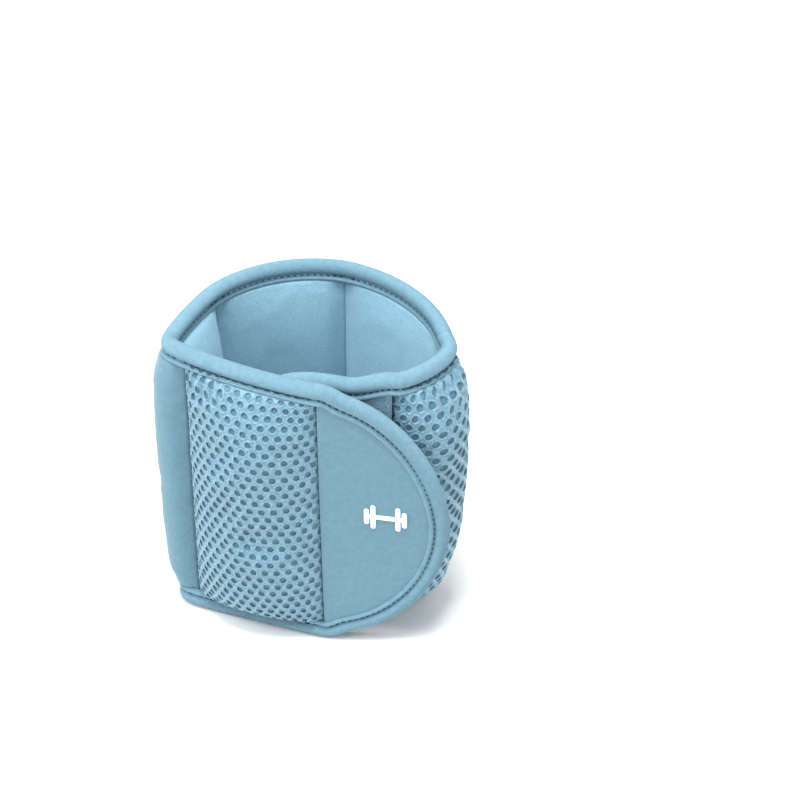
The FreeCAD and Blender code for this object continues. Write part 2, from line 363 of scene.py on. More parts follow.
def mottled(tree, shader, dark, light, scale):
    """Base colour that wanders between two colours."""
    where = tree.nodes.new("ShaderNodeTexCoord")
    grain = tree.nodes.new("ShaderNodeTexNoise")
    grain.inputs["Scale"].default_value = scale
    grain.inputs["Detail"].default_value = GRAIN_DETAIL
    ramp = tree.nodes.new("ShaderNodeValToRGB")
    first, last = ramp.color_ramp.elements
    first.position, last.position = RAMP_LOW, RAMP_HIGH
    first.color, last.color = (*dark, 1), (*light, 1)
    tree.links.new(where.outputs["Object"], grain.inputs["Vector"])
    tree.links.new(grain.outputs["Fac"], ramp.inputs["Fac"])
    tree.links.new(ramp.outputs["Color"], shader.inputs["Base Color"])
    return where


def bumped(tree, shader, where, layers):
    """Bump from noise layers given as (scale, detail, strength, distance)."""
    last = None
    for scale, detail, strength, distance in layers:
        grain = tree.nodes.new("ShaderNodeTexNoise")
        grain.inputs["Scale"].default_value = scale
        grain.inputs["Detail"].default_value = detail
        bump = tree.nodes.new("ShaderNodeBump")
        bump.inputs["Strength"].default_value = strength
        bump.inputs["Distance"].default_value = distance
        tree.links.new(where.outputs["Object"], grain.inputs["Vector"])
        tree.links.new(grain.outputs["Fac"], bump.inputs["Height"])
        if last:
            tree.links.new(last.outputs["Normal"], bump.inputs["Normal"])
        last = bump
    tree.links.new(last.outputs["Normal"], shader.inputs["Normal"])


def fabric(name, dark, light, scale, roughness, sheen, layers, specular=0.3):
    """A material between two sRGB colours, with bump layers."""
    dark, light = linear(*dark), linear(*light)
    made, tree, shader = material(name, light, roughness, sheen, specular)
    where = mottled(tree, shader, dark, light, scale)
    bumped(tree, shader, where, layers)
    return made


COVER = fabric(
    "cuff_cover", (92, 127, 143), (98, 133, 149), scale=500, roughness=0.9, sheen=0.3,
    layers=[(1900, 3, 0.5, 0.0004), (420, 2, 0.06, 0.001)],
)
LINING = fabric(
    "cuff_lining", (124, 166, 185), (136, 178, 197), scale=1300, roughness=0.92, sheen=0.3,
    layers=[(2100, 3, 0.45, 0.0004)],
)
MESH = fabric(
    "cuff_mesh", (86, 125, 143), (112, 151, 169), scale=900, roughness=0.45, sheen=0.5,
    layers=[(3200, 2, 0.5, 0.0003), (1100, 2, 0.3, 0.0005)], specular=0.5,
)
# Backing cloth under the air mesh. Its colour is darker than the strands, which paints shade into
# the holes on top of the real shade from their depth
BACKING_WITH_PAINTED_SHADE = fabric(
    "cuff_mesh_backing", (76, 112, 130), (92, 128, 146), scale=600, roughness=0.95, sheen=0.1,
    layers=[(2200, 3, 0.4, 0.0006)],
)
BINDING = fabric(
    "cuff_binding", (98, 134, 151), (106, 142, 159), scale=500, roughness=0.8, sheen=0.4,
    layers=[(2800, 2, 0.25, 0.0003), (500, 2, 0.06, 0.001)],
)
THREAD = fabric(
    "cuff_thread", (36, 66, 82), (48, 80, 96), scale=1500, roughness=0.7, sheen=0.1,
    layers=[(3000, 2, 0.3, 0.0003)],
)
LOOP = fabric(
    "cuff_loop_pile", (94, 131, 148), (118, 155, 172), scale=1100, roughness=0.95, sheen=0.5,
    layers=[(1600, 4, 0.7, 0.001)],
)
HOOK = fabric(
    "cuff_hook_tape", (80, 116, 133), (98, 134, 151), scale=900, roughness=0.6, sheen=0.1,
    layers=[(2000, 2, 0.3, 0.0005)],
)
PRINT = fabric(
    "cuff_print", (232, 236, 238), (250, 251, 252), scale=900, roughness=0.6, sheen=0.1,
    layers=[(1500, 3, 0.25, 0.0004)],
)
FILM = fabric(
    "cuff_bag_film", (150, 156, 160), (172, 178, 182), scale=90, roughness=0.35, sheen=0.0,
    layers=[(200, 2, 0.3, 0.001)],
)
SAND = fabric(
    "cuff_iron_sand", (40, 38, 37), (78, 74, 72), scale=2500, roughness=0.55, sheen=0.0,
    layers=[(3000, 2, 0.8, 0.001)],
)


# ---------------------------------------------------------------- mesh helpers


def mesh_piece(name, points, faces, finish, merge=0.0):
    """A smooth-shaded mesh object from millimetre points. Points closer than merge become one."""
    data = bpy.data.meshes.new(name)
    data.from_pydata((np.asarray(points).reshape(-1, 3) * MM).tolist(), [], faces)
    data.materials.append(finish)
    obj = bpy.data.objects.new(name, data)
    bpy.context.scene.collection.objects.link(obj)
    if merge:
        work = bmesh.new()
        work.from_mesh(data)
        bmesh.ops.remove_doubles(work, verts=work.verts, dist=merge * MM)
        bmesh.ops.dissolve_degenerate(work, edges=work.edges, dist=merge * MM / 4)
        bmesh.ops.recalc_face_normals(work, faces=work.faces)
        work.to_mesh(data)
        work.free()
    data.polygons.foreach_set("use_smooth", [True] * len(data.polygons))
    data.update()
    return obj


def grid_faces(rows, columns, start=0, flip=False):
    """Quads between the points of a grid."""
    k = start + np.arange(rows - 1)[:, None] * columns + np.arange(columns - 1)[None, :]
    quads = np.stack((k, k + 1, k + columns + 1, k + columns), -1).reshape(-1, 4)
    return (quads[:, ::-1] if flip else quads).tolist()


def closed_sheet(front, back):
    """Points and faces of the solid between two grids of the same size."""
    rows, columns = front.shape[:2]
    count = rows * columns
    points = np.concatenate((front.reshape(-1, 3), back.reshape(-1, 3)))
    faces = grid_faces(rows, columns) + grid_faces(rows, columns, count, True)
    rim = [(0, j) for j in range(columns)]
    rim += [(i, columns - 1) for i in range(1, rows)]
    rim += [(rows - 1, j) for j in range(columns - 2, -1, -1)]
    rim += [(i, 0) for i in range(rows - 2, 0, -1)]
    ring = [i * columns + j for i, j in rim]
    for a, b in zip(ring, ring[1:] + ring[:1]):
        faces.append([b, a, a + count, b + count])
    return points, faces


def tube_faces(steps, around):
    """Faces of a swept closed profile, ends closed."""
    i = np.arange(steps - 1)[:, None] * around
    j = np.arange(around)[None, :]
    n = (j + 1) % around
    faces = np.stack((i + j, i + n, i + around + n, i + around + j), -1).reshape(-1, 4).tolist()
    faces.append(list(range(around))[::-1])
    faces.append([(steps - 1) * around + k for k in range(around)])
    return faces


# ---------------------------------------------------------------- pockets


FOLDS = {}  # what the cloth simulation adds to each pocket's face


def plain_swell(panel, s, z, side):
    """How far a pocket's face would stand out of the middle surface with no folds in it."""
    bulge = panel.out if side > 0 else panel.inn
    t = np.clip(s / panel.length, 0, 1)
    zeta = np.clip((z - FACE_EDGE) / (HEIGHT - 2 * FACE_EDGE), 0, 1)
    zeta = zeta ** (1 / panel.settle)
    across = (1 - np.abs(2 * t - 1) ** ACROSS_POWER[side]) ** 0.9
    power = FRONT_UP_POWER if side > 0 and panel.name == "front" else UP_POWER[side]
    up = (1 - np.abs(2 * zeta - 1) ** power) ** 0.5
    up = up * (SHOULDER + (1 - SHOULDER) * np.sin(math.pi * zeta))
    from_seam = np.minimum(s, panel.length - s)
    under = UNDER_LIP * smoothstep(from_seam / UNDER_LIP_REACH)
    wander = 1 + UNEVEN[side] * noise(s, z, panel.index * 7 + side, 17) * up
    return PINCH + under + bulge * up * across * wander


def gathered(panel, s, z):
    """How strongly the mesh is gathered there, 0 to 1."""
    if panel.name not in MESHED:
        return 0.0
    top = HEIGHT - ROLL_DEPTH - LIP_DEPTH
    below = np.clip((top - z) / GATHER_DEEP, 0, 2)
    if panel.name == "front":
        across = 1 - smoothstep((s - GATHER_FROM) / GATHER_FADE)
    else:
        across = smoothstep(s / GATHER_FADE)
    return across * np.exp(-2 * below**2)


def pleats(panel, s, z):
    """Height of the small pleats in the gathered mesh."""
    place = s + PLEAT_WANDER * noise(s, z, panel.index + 31, 6)
    wave = np.sin(2 * math.pi * place / GATHER_STEP)
    return GATHER_RISE * gathered(panel, s, z) * wave


def cubic(f):
    """Weights of the four neighbours in smooth interpolation."""
    return np.stack((
        -0.5 * f + f**2 - 0.5 * f**3,
        1 - 2.5 * f**2 + 1.5 * f**3,
        0.5 * f + 2 * f**2 - 1.5 * f**3,
        -0.5 * f**2 + 0.5 * f**3,
    ))


def swell(panel, s, z, side):
    """How far a pocket's face stands out of the middle surface at s and z."""
    s, z = np.broadcast_arrays(np.asarray(s, float), np.asarray(z, float))
    out = plain_swell(panel, s, z, side)
    if side > 0:
        out = out + pleats(panel, s, z)
    folds = FOLDS.get((panel.name, side))
    if folds is None:
        return out
    rows, columns = folds.shape
    x = np.clip(s / panel.length, 0, 1) * (columns - 1)
    y = np.clip((z - FACE_EDGE) / (HEIGHT - 2 * FACE_EDGE), 0, 1) * (rows - 1)
    i, j = np.minimum(x.astype(int), columns - 2), np.minimum(y.astype(int), rows - 2)
    wx, wy = cubic(x - i), cubic(y - j)
    for a in range(4):
        row = np.clip(j + a - 1, 0, rows - 1)
        for b in range(4):
            out = out + wy[a] * wx[b] * folds[row, np.clip(i + b - 1, 0, columns - 1)]
    return np.maximum(out, PINCH * THINNEST)


def blow(panel, side):
    """Blows up a slightly slack cloth, sewn down round the edge of a pocket's face, and keeps
    the folds it gets as an offset from the plain swell."""
    columns = int(panel.length / CLOTH_CELL) + 1
    rows = int((HEIGHT - 2 * FACE_EDGE) / CLOTH_CELL) + 1
    s, z = np.meshgrid(np.linspace(0, panel.length, columns),
                       np.linspace(FACE_EDGE, HEIGHT - FACE_EDGE, rows))
    plain = plain_swell(panel, s, z, side)
    crease = noise(s, z, panel.index * 13 + side + 5, 7.0) * CLOTH_CREASE
    start = plain * CLOTH_START + crease
    points = np.stack((s, z, start), -1).reshape(-1, 3) * MM
    data = bpy.data.meshes.new("cloth_run")
    data.from_pydata(points.tolist(), [], grid_faces(rows, columns))
    obj = bpy.data.objects.new("cloth_run", data)
    bpy.context.scene.collection.objects.link(obj)
    pins = obj.vertex_groups.new(name="pins")
    k = np.arange(rows * columns).reshape(rows, columns)
    edge = set(k[0]) | set(k[-1]) | set(k[:, 0]) | set(k[:, -1])
    pins.add([int(v) for v in edge], 1.0, "REPLACE")
    cloth = obj.modifiers.new("cloth", "CLOTH")
    cloth.settings.quality = 5
    cloth.settings.mass = 0.25
    cloth.settings.tension_stiffness = 25
    cloth.settings.compression_stiffness = 25
    cloth.settings.shear_stiffness = 12
    cloth.settings.bending_stiffness = 8.0
    cloth.settings.air_damping = 6
    cloth.settings.vertex_group_mass = "pins"
    cloth.settings.shrink_min = -0.02
    cloth.settings.use_pressure = True
    cloth.settings.uniform_pressure_force = 6.0
    cloth.settings.effector_weights.gravity = 0
    cloth.collision_settings.use_collision = False
    cloth.point_cache.frame_end = CLOTH_FRAMES
    for frame_number in range(1, CLOTH_FRAMES + 1):
        bpy.context.scene.frame_set(frame_number)
    ready = obj.evaluated_get(bpy.context.evaluated_depsgraph_get())
    co = np.zeros(rows * columns * 3, np.float32)
    ready.data.vertices.foreach_get("co", co)
    height = co.reshape(rows, columns, 3)[..., 2].astype(float) / MM
    bpy.data.objects.remove(obj)
    bpy.data.meshes.remove(data)
    bpy.context.scene.frame_set(1)
    height *= plain.max() / height.max()
    folds = np.clip(height - plain, -FOLD_LIMIT, FOLD_LIMIT) * FOLD_SHARE[side]
    folds[[0, -1]] = 0
    folds[:, [0, -1]] = 0
    return folds


for pocket in POCKETS:
    for face in (1, -1):
        FOLDS[(pocket.name, face)] = blow(pocket, face)


def pocket_grid(panel, side, drop=0.0):
    """Front and back of a pocket's sheet, from the roll at the foot to the one at the top."""
    s = np.linspace(0, panel.length, FACE_COLUMNS)
    lip = ROLL_DEPTH + LIP_DEPTH
    turn = np.cos(np.linspace(0, math.pi, FACE_ROWS))
    z = np.concatenate((
        np.linspace(ROLL_DEPTH, lip, LIP_ROWS)[:-1],
        HEIGHT / 2 - (HEIGHT / 2 - lip) * turn,
        np.linspace(HEIGHT - lip, HEIGHT - ROLL_DEPTH, LIP_ROWS)[1:],
    ))
    grid_s, grid_z = np.meshgrid(s, z)
    o = np.maximum(swell(panel, grid_s, grid_z, side) - drop, FRONT_GAP)
    front = panel.place(grid_s, side * o, grid_z)
    back = panel.place(grid_s, side * np.maximum(o - SHEET, BACK_GAP), grid_z)
    return front, back


def spread(total, rise):
    """Positions along a swollen face, and the way gone over it at each."""
    x = np.linspace(0, total, 400)
    way = np.concatenate(([0], np.cumsum(np.hypot(np.diff(x), np.diff(rise(x))))))
    return x, way


def cell_middles(reach, tip):
    """Middles of the net's cells over a face of that size, as (along, up)."""
    rows, columns = int(tip / ROW_PITCH) + 2, int(reach / HOLE_PITCH) + 2
    middles = []
    for i in range(-1, rows):
        shift = 0.5 * HOLE_PITCH if i % 2 else 0.0
        for j in range(-1, columns + 1):
            middles.append((j * HOLE_PITCH + shift + FIRST_HOLE, (i + FIRST_ROW) * ROW_PITCH))
    middles = np.array(middles)
    edge = HOLE_PITCH / 2
    inside = (middles[:, 0] > -edge) & (middles[:, 0] < reach + edge)
    return middles[inside & (middles[:, 1] > -edge) & (middles[:, 1] < tip + edge)]


def lattice(panel, name):
    """Real air mesh over a pocket's outer face: rows of holes between raised strands."""
    around = 18
    low, high = ROLL_DEPTH + GROOVE_DEPTH, HEIGHT - ROLL_DEPTH - GROOVE_DEPTH
    at_s, way_s = spread(panel.length, lambda x: swell(panel, x, x * 0 + HEIGHT / 2, 1))
    mid = panel.length / 2
    at_z, way_z = spread(high - low, lambda x: swell(panel, x * 0 + mid, x + low, 1))
    reach, tip = way_s[-1], way_z[-1]
    angle = np.arange(around) * 2 * math.pi / around
    # Distance from a cell's middle to its border, a hexagon with upright sides
    bent = angle % (math.pi / 3) - math.pi / 6
    pit = np.where(np.arange(around) % 3, 0.0, CORNER_PIT)
    wide = HOLE_PITCH / 2 / np.cos(bent) * np.sin(angle)
    tall = HOLE_PITCH / 2 / np.cos(bent) * np.cos(angle) * ROW_PITCH / HOLE_PITCH / REGULAR
    hole_wide, hole_tall = HOLE_WIDE * np.sin(angle), HOLE_TALL * np.cos(angle)
    # A strand's section: share of the way from the hole to the border, and height
    under = -NET_UNDER / STRAND_RISE
    rings = [(1.0, 0.7), (0.58, 0.78), (0.27, 1.0), (0.08, 0.9), (0.0, 0.45),
             (0.0, under), (1.0, under)]
    middles = cell_middles(reach, tip)
    s, z, o = [], [], []
    for share, rise in rings:
        s.append(middles[:, :1] + hole_wide * (1 - share) + wide * share)
        z.append(middles[:, 1:] + hole_tall * (1 - share) + tall * share)
        height = (rise - (pit if share == 1 and rise > 0 else 0)) * STRAND_RISE
        o.append(np.broadcast_to(height, (len(middles), around)))
    s, z, o = [np.stack(v, 1) for v in (s, z, o)]
    z = z + ROW_SAG * ((2 * s / reach - 1) ** 2 - 0.5)
    z = z + GATHER_PULL * gathered(panel, s, low + z * (high - low) / tip)
    s, z = np.clip(s, NET_EDGE, reach - NET_EDGE), np.clip(z, 0, tip)
    thin = 0.35 + 0.65 * smoothstep(np.minimum(s, reach - s) / NET_THIN)
    s, z = np.interp(s, way_s, at_s), np.interp(z, way_z, at_z) + low
    points = panel.place(s, swell(panel, s, z, 1) + (o * thin - NET_SUNK), z)
    faces = []
    j = np.arange(around)
    n = (j + 1) % around
    for ring in range(len(middles) * len(rings)):
        if ring % len(rings) < len(rings) - 1:
            a, b = ring * around, (ring + 1) * around
            faces += np.stack((a + j, b + j, b + n, a + n), -1).tolist()
    return mesh_piece(name, points, faces, MESH, merge=0.03)


def pillow(panel, name, inset, share, finish):
    """A closed pillow well inside a pocket, with that share of its thickness."""
    edge = ROLL_DEPTH + LIP_DEPTH + inset
    s = np.linspace(inset, panel.length - inset, 17)
    z = np.linspace(edge, HEIGHT - edge, 25)
    grid_s, grid_z = np.meshgrid(s, z)
    gap = 0.3
    front = panel.place(grid_s, share * swell(panel, grid_s, grid_z, 1) - gap, grid_z)
    back = panel.place(grid_s, -share * swell(panel, grid_s, grid_z, -1) + gap, grid_z)
    points, faces = closed_sheet(front, back)
    return mesh_piece(name, points, faces, finish)


def attach(piece, panel):
    """Attaches a piece of the root panel to its body, and bakes any other piece's transform into
    its mesh.
    The seam's axis and the way along the panel are worked out for the other pieces but not used."""
    index = panel.index
    if index == ROOT:
        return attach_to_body(piece, panel.name)
    if index > ROOT:
        near, far, beside = index, index + 1, index - 1
    else:
        near, far, beside = index + 1, index, index + 1
    top, low = np.array((*SEAM[near], HEIGHT)), np.array((*SEAM_LOW[near], 0))
    up = (top - low) / np.linalg.norm(top - low)
    way = np.array((*SEAM[far], HEIGHT)) - top
    way -= (way @ up) * up
    way /= np.linalg.norm(way)
    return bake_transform(piece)


def outer_face(panel):
    """A smooth cover, or air mesh over its backing cloth."""
    name = panel.name
    if name in MESHED:
        points, faces = closed_sheet(*pocket_grid(panel, 1, BACKING_DROP))
        # The backing's darker colour paints shade into the mesh holes
        cloth = mesh_piece(name + "_backing_cloth", points, faces, BACKING_WITH_PAINTED_SHADE, 0.01)
        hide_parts(name + "_mesh_backing")
        net = lattice(panel, name + "_air_mesh")
        attach(net, panel)
        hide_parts(name + "_mesh_face")
    else:
        points, faces = closed_sheet(*pocket_grid(panel, 1))
        cloth = mesh_piece(name + "_outer_cloth", points, faces, COVER, 0.01)
        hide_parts(name + "_cover")
    attach(cloth, panel)


def inner_face(panel):
    """The lining."""
    front, back = pocket_grid(panel, -1)
    points, faces = closed_sheet(back, front)
    cloth = mesh_piece(panel.name + "_inner_cloth", points, faces, LINING, 0.01)
    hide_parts(panel.name + "_lining")
    attach(cloth, panel)


def filling(panel):
    """The sealed bag and the sand in it."""
    bag = pillow(panel, panel.name + "_bag", 3.0, 0.55, FILM)
    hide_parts(panel.name + "_sand_bag")
    attach(bag, panel)
    sand = pillow(panel, panel.name + "_fill", 3.6, 0.42, SAND)
    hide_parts(panel.name + "_iron_sand")
    attach(sand, panel)


for pocket in POCKETS:
    outer_face(pocket)
    inner_face(pocket)
    filling(pocket)


# ---------------------------------------------------------------- tabs


class Tab:
    """The outline of a tab: a half superellipse of that power and depth beyond a straight part.
    Past the seam its upper and lower halves ease down to their shares of the strip's height, and
    its tip hangs lower by droop."""

    def __init__(self, panel, rounded, power, shares, ease, seam_at_start, droop=0.0):
        self.panel, self.power, self.seam_at_start = panel, power, seam_at_start
        self.shares, self.ease, self.droop = shares, ease, droop
        self.straight = panel.length - rounded
        self.deep = rounded - ROLL_DEPTH
        self.tall = HEIGHT / 2 - ROLL_DEPTH

    def half_height(self, d, top=True):
        """From the tab's middle to its roll's middle, d from the seam."""
        x = np.clip((d - self.straight) / self.deep, 0, 1)
        curve = (1 - x ** self.power) ** (1 / self.power)
        share = self.shares[0] if top else self.shares[1]
        return self.tall * curve * (share + (1 - share) * (1 - smoothstep(d / self.ease)))

    def outline(self, count):
        """Roll's middle line as (d, z), from the seam's top round the tip to its foot."""
        reach = self.straight + self.deep
        a = np.linspace(0, math.pi / 2, 300)
        d = reach * np.sin(a)
        top = np.stack((d, HEIGHT / 2 + self.half_height(d)), 1)
        foot = np.stack((d, HEIGHT / 2 - self.half_height(d, False)), 1)[::-1]
        return even(np.concatenate((top, foot[1:])), count)

    def place(self, d, o, z):
        """Points d from the seam, o out of the strip's middle surface, z up."""
        share = np.clip(d / self.panel.length, 0, 1)
        s = d if self.seam_at_start else self.panel.length - d
        points = self.panel.place(s, o, z)
        points[..., 2] -= self.droop * share**2
        return points


INNER = Tab(PANELS[0], rounded=54.0, power=3.05, shares=(0.905, 1.0), ease=16.0,
            seam_at_start=False)
OUTER = Tab(PANELS[-1], rounded=42.5, power=1.85, shares=(0.95, 0.95), ease=10.0,
            seam_at_start=True, droop=4.5)


def tab_slab(tab, name, inset, o_front, o_back, finish, start=0.0, crown=0.0):
    """Closed slab inside a tab's outline, from start past the seam. Its front is crowned."""
    reach = tab.straight + tab.deep
    end = reach - inset
    d = start + (end - start) * np.sin(np.linspace(0, math.pi / 2, TAB_COLUMNS))
    v = np.sin(np.linspace(-math.pi / 2, math.pi / 2, TAB_ROWS))[:, None]
    if start == 0:
        half = [np.maximum(tab.half_height(d * reach / end, top) - inset, 0.05)
                for top in (True, False)]
    else:
        tall = tab.tall * min(tab.shares) - inset
        patch = tall * (1 - ((d - start) / (end - start)) ** PATCH_POWER) ** 0.5
        half = [np.maximum(patch, 0.05)] * 2
    grid_d = np.broadcast_to(d, (TAB_ROWS, TAB_COLUMNS))
    grid_z = HEIGHT / 2 + np.where(v > 0, v * half[0][None, :], v * half[1][None, :])
    rise = crown * (1 - np.abs(v) ** 4) * smoothstep((end - d) / 9)[None, :]
    front = tab.place(grid_d, o_front + np.sign(o_front) * rise, grid_z)
    back = tab.place(grid_d, np.full(grid_d.shape, o_back), grid_z)
    points, faces = closed_sheet(front, back)
    return mesh_piece(name, points, faces, finish, 0.01)


def tab_sheet(tab, side, crown, finish):
    """A tab's outer or inner cloth."""
    name = tab.panel.name
    face, node = ("outer", "cover") if side > 0 else ("inner", "lining")
    piece = tab_slab(tab, f"{name}_{face}_cloth", 0, side * TAB_SHEET, side * TAB_CORE,
                     finish, crown=crown)
    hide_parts(f"{name}_{node}")
    attach(piece, tab.panel)


def tab_patch(tab, side, name, node, finish):
    """Half of the closure, a little proud of a tab's cloth."""
    face, foot = TAB_SHEET + PATCH_RISE, TAB_SHEET * 0.6
    piece = tab_slab(tab, name, PATCH_INSET, side * face, side * foot, finish,
                     start=PATCH_START)
    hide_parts(node)
    attach(piece, tab.panel)


# The inner tab's whole outer face is brushed, so that the hooks hold anywhere on it. Its lighter
# loop colour also paints light onto the strip of it that lies in the outer tab's shade
tab_sheet(INNER, 1, 0.6, LOOP)
tab_sheet(INNER, -1, 0.6, LINING)
tab_patch(INNER, 1, "inner_tab_loop", "inner_tab_loop_patch", LOOP)
tab_sheet(OUTER, 1, 0.7, COVER)
tab_sheet(OUTER, -1, 0.3, LINING)
tab_patch(OUTER, -1, "outer_tab_hooks", "outer_tab_hook_patch", HOOK)


# ---------------------------------------------------------------- binding


def profile():
    """Closed cross-section of the binding as (out, inward, rib) from the roll's middle."""
    roll = []
    for a in np.radians(np.linspace(*ROLL_SPAN, 23)):
        roll.append((ROLL * math.cos(a), -ROLL * math.sin(a), 1.0))
    groove = [(-1.55, GROOVE_DEPTH - 0.45, 0.2), (-1.25, GROOVE_DEPTH, 0.0)]
    lip = []
    for a in np.radians(np.linspace(*LIP_SPAN, 8)):
        out = -LIP_OUT + LIP_RADIUS * math.cos(a)
        lip.append((out, LIP_DEPTH - LIP_RADIUS * math.sin(a), 0.5))
    left = groove + lip
    right = [(-o, d, r) for o, d, r in reversed(left)]
    return np.array(roll + left + right)


PROFILE = profile()


def sweep(name, middle, out, inward, slant):
    """The binding along a line, with fine slanting ribs across it."""
    steps = len(middle)
    flip = np.where(np.arange(steps) % 2, 1.0, -1.0)[:, None] * RIB_RISE
    o, d, rib = PROFILE.T
    size = 1 + flip * rib[None, :] / ROLL
    points = (
        middle[:, None, :]
        + out[:, None, :] * (o * size)[..., None]
        + inward[:, None, :] * (d * size)[..., None]
    )
    way = np.gradient(middle, axis=0)
    way /= np.linalg.norm(way, axis=1, keepdims=True)
    points += slant * d[None, :, None] * way[:, None, :]
    points[..., 2] = np.clip(points[..., 2], 0.02, None)
    faces = tube_faces(steps, len(PROFILE))
    piece = mesh_piece(name, points, faces, BINDING)
    # The ribs' ridges and valleys are creases, the roll is smooth the other way
    ends = np.empty(2 * len(piece.data.edges), int)
    piece.data.edges.foreach_get("vertices", ends)
    ring = ends.reshape(-1, 2) // len(PROFILE)
    piece.data.edges.foreach_set("use_edge_sharp", ring[:, 0] == ring[:, 1])
    return piece


def rib_steps(length):
    """An odd number of points, so that every run of binding begins and ends alike."""
    return 2 * int(length / RIB_STEP / 2) + 1


def edge_run(panel, z):
    """Evenly stepped line at height z along a panel, seam to seam, with outward directions."""
    steps = rib_steps(panel.length)
    s = np.linspace(0, panel.length, steps)
    middle = panel.place(s, 0.0, z)
    out = panel.place(s, 1.0, z) - middle
    return middle, out


def stitch_run(middle, out, inward, side, pitch=2.4, long=1.5, thick=0.3):
    """Short raised stitches beside a line, where the binding's groove is."""
    step = np.linalg.norm(np.diff(middle, axis=0), axis=1)
    way = np.concatenate(([0], np.cumsum(step)))
    points, faces, base = [], [], 0
    around, along = 6, 6
    for k in range(int(way[-1] / pitch)):
        at = np.linspace(0, long, along) + (k + 0.2) * pitch
        m = np.stack([np.interp(at, way, middle[:, c]) for c in range(3)], 1)
        o = np.stack([np.interp(at, way, out[:, c]) for c in range(3)], 1)
        i = np.stack([np.interp(at, way, inward[:, c]) for c in range(3)], 1)
        fat = thick * np.sqrt(np.clip(1 - (2 * np.linspace(0, 1, along) - 1) ** 4, 0.12, 1))
        angle = np.arange(around) * 2 * math.pi / around
        core = m + side * o * STITCH_OUT + i * (GROOVE_DEPTH - STITCH_UP)
        ring = (
            core[:, None, :]
            + o[:, None, :] * (fat[:, None] * np.cos(angle))[..., None]
            + i[:, None, :] * (fat[:, None] * np.sin(angle))[..., None]
        )
        points.append(ring.reshape(-1, 3))
        faces += [[base + v for v in face] for face in tube_faces(along, around)]
        base += along * around
    return np.concatenate(points), faces


def stitches(name, middle, out, inward):
    """Stitches in the grooves on both faces of the strip."""
    outer, outer_faces = stitch_run(middle, out, inward, 1)
    inner, inner_faces = stitch_run(middle, out, inward, -1)
    faces = outer_faces + [[v + len(outer) for v in face] for face in inner_faces]
    return mesh_piece(name, np.concatenate((outer, inner)), faces, THREAD)


def pocket_binding(panel, edge, z, up):
    """The binding along a pocket's top or bottom edge. up is the way into the pocket."""
    name = panel.name
    middle, out = edge_run(panel, z)
    inward = np.zeros_like(middle)
    inward[:, 2] = up
    piece = sweep(f"{name}_{edge}_roll", middle, out, inward, -up * RIB_SLANT)
    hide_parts(f"{name}_binding_{edge}")
    attach(piece, panel)
    piece = stitches(f"{name}_{edge}_stitches", middle, out, inward)
    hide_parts(name + "_binding_stitches")
    attach(piece, panel)


for pocket in POCKETS:
    pocket_binding(pocket, "top", HEIGHT - ROLL_DEPTH, -1.0)
    pocket_binding(pocket, "bottom", ROLL_DEPTH, 1.0)


def tab_binding(tab, name):
    """The binding round a tab's end."""
    line = tab.outline(4000)
    total = way_length(line)
    steps = rib_steps(total)
    line = even(line, steps)
    gone = np.linspace(0, total, steps)
    # Smoothed, but not near its ends, which have to meet the pocket's binding
    free = smoothstep((np.minimum(gone, total - gone) - 1) / 9)[:, None]
    line = line + (eased(line, 40) - line) * free
    way = np.gradient(line, axis=0)
    way /= np.linalg.norm(way, axis=1, keepdims=True)
    # The line runs from the seam's top round the tip to its foot, so inward is to its right
    inward = np.stack((way[:, 1], -way[:, 0]), 1)
    aside = 0.5  # how far off the line its directions are taken
    zero = np.zeros(steps)
    middle = tab.place(line[:, 0], zero, line[:, 1])
    side = tab.place(line[:, 0] + inward[:, 0] * aside, zero, line[:, 1] + inward[:, 1] * aside)
    lifted = tab.place(line[:, 0], zero + aside, line[:, 1])
    inward3 = (side - middle) / np.linalg.norm(side - middle, axis=1, keepdims=True)
    out3 = (lifted - middle) / np.linalg.norm(lifted - middle, axis=1, keepdims=True)
    slant = RIB_SLANT if tab.seam_at_start else -RIB_SLANT  # as on the pocket's roll
    piece = sweep(name + "_edge_roll", middle, out3, inward3, slant)
    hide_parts(name + "_binding")
    attach(piece, tab.panel)
    piece = stitches(name + "_edge_stitches", middle, out3, inward3)
    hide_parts(name + "_binding_stitches")
    attach(piece, tab.panel)


tab_binding(INNER, "inner_tab")
tab_binding(OUTER, "outer_tab")


# ---------------------------------------------------------------- seam threads


def seam_thread(name, panel, s, cad_node):
    """A line of small stitches up a seam, in the crease."""
    count = 400
    z = np.linspace(ROLL_DEPTH + LIP_DEPTH, HEIGHT - ROLL_DEPTH - LIP_DEPTH, count)
    line = panel.place(np.full(count, s), 0.0, z)
    out = panel.place(np.full(count, s), 1.0, z) - line
    ahead = panel.place(np.full(count, s + 1), 0.0, z) - line
    # A run of stitches lies this far ahead of its line, so the line is moved back by as much
    run = line - ahead * (GROOVE_DEPTH - 0.15)
    points, faces = stitch_run(run, out, ahead, 1, pitch=3.2, long=2.3, thick=0.34)
    points = points - out[0] * SEAM_SUNK
    piece = mesh_piece(name, points, faces, THREAD)
    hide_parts(cad_node)
    return attach(piece, panel)


SEAM_ASIDE = 0.5  # of a row of seam stitches from the seam
for pocket in POCKETS:
    seam_thread(pocket.name + "_seam_stitches", pocket, SEAM_ASIDE, pocket.name + "_seam_thread")
FRONT = POCKETS[-1]
seam_thread("front_end_seam_stitches", FRONT, FRONT.length - SEAM_ASIDE, "front_end_seam_thread")


# ---------------------------------------------------------------- emblem


BAR = (14.4, 1.5)  # long, tall
INNER_PLATE = (1.7, 10.0)  # wide, tall
OUTER_PLATE = (1.7, 6.4)
INNER_PLATE_AT = 4.2  # from the emblem's middle
OUTER_PLATE_AT = 6.4
EMBLEM_HEIGHT = 60.5
PRINT_RISE = 1.2  # above the tab's sheet, whose crown is under it


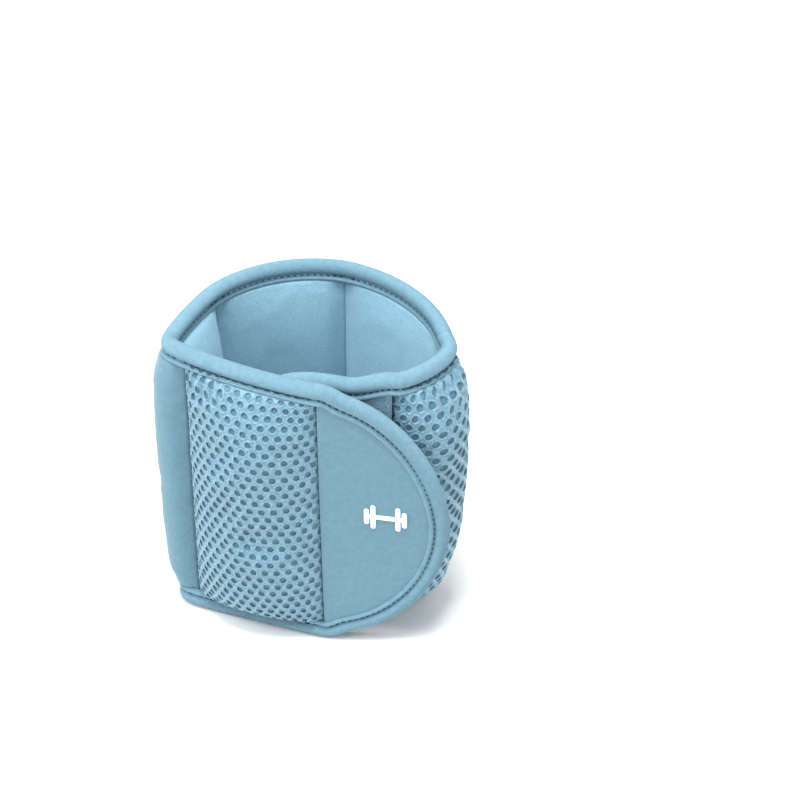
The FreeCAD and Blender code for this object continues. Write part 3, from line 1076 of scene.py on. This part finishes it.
def emblem():
    """A printed dumbbell on the outer tab: a bar and two pairs of plates, corners rounded."""
    blocks = [(0, *BAR)]
    for side in (-1, 1):
        blocks += [(INNER_PLATE_AT * side, *INNER_PLATE), (OUTER_PLATE_AT * side, *OUTER_PLATE)]
    points, faces, base = [], [], 0
    middle_d = OUTER.panel.length / 2
    for k, (x, wide, tall) in enumerate(blocks):
        corner = min(wide, tall) * 0.42
        across = wide / 2 * np.sin(np.linspace(-math.pi / 2, math.pi / 2, 33))
        past = np.clip(np.abs(across) - wide / 2 + corner, 0, corner)
        half = tall / 2 - corner + np.sqrt(corner**2 - past**2)
        d, share = np.meshgrid(middle_d + x + across, np.linspace(-1, 1, 13))
        z = EMBLEM_HEIGHT + half[None, :] * share
        front = OUTER.place(d, np.full(d.shape, TAB_SHEET + PRINT_RISE + 0.02 * k), z)
        back = OUTER.place(d, np.full(d.shape, TAB_SHEET + 0.3), z)
        block, quads = closed_sheet(front, back)
        points.append(block)
        faces += [[base + v for v in quad] for quad in quads]
        base += len(block)
    piece = mesh_piece("outer_tab_print", np.concatenate(points), faces, PRINT, 0.005)
    for polygon in piece.data.polygons:
        polygon.use_smooth = False
    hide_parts("outer_tab_emblem")
    return attach(piece, OUTER.panel)


emblem()


# ---------------------------------------------------------------- floor, lights, camera


def floor():
    """A wide pale floor just under the cuff. Metres from here on."""
    data = bpy.data.meshes.new("floor")
    half = 6.0
    data.from_pydata([(-half, -half, 0), (half, -half, 0), (half, half, 0), (-half, half, 0)],
                     [], [(0, 1, 2, 3)])
    white, _, _ = material("floor_white", (0.92, 0.92, 0.92), 0.9)
    data.materials.append(white)
    obj = bpy.data.objects.new("floor", data)
    obj.location.z = -0.0005
    bpy.context.scene.collection.objects.link(obj)


def lamp(name, power, size, place):
    """A square soft light that faces the cuff."""
    data = bpy.data.lights.new(name, "AREA")
    data.energy = power
    data.size = size
    obj = bpy.data.objects.new(name, data)
    obj.location = place
    way = np.array((0, 0, 0.05)) - np.array(place)
    flat = math.hypot(way[0], way[1])
    obj.rotation_euler = (math.atan2(flat, -way[2]), 0, math.atan2(-way[0], way[1]))
    bpy.context.scene.collection.objects.link(obj)


floor()
lamp("key", 11.5, 0.7, (-0.75, -0.45, 1.05))
lamp("fill", 4.3, 0.9, (0.8, -0.7, 0.9))
lamp("above", 22, 0.45, (-0.05, -0.2, 1.3))
lamp("back", 3, 0.9, (0.3, 1.1, 0.9))

bpy.context.scene.view_settings.view_transform = "Standard"
world = bpy.data.worlds.new("studio")
world.use_nodes = True
world.node_tree.nodes["Background"].inputs["Color"].default_value = (1, 1, 1, 1)
world.node_tree.nodes["Background"].inputs["Strength"].default_value = 0.5
bpy.context.scene.world = world

CAMERA_AT = (0.03158, -0.70806, 0.62356)
CAMERA_TILT = 52.5  # degrees up from straight down
camera = bpy.data.cameras.new("camera")
camera.lens = 117.0
camera.sensor_width = 36.0
camera_object = bpy.data.objects.new("camera", camera)
camera_object.location = CAMERA_AT
camera_object.rotation_euler = (math.radians(CAMERA_TILT), 0, 0)
bpy.context.scene.collection.objects.link(camera_object)
bpy.context.scene.camera = camera_object
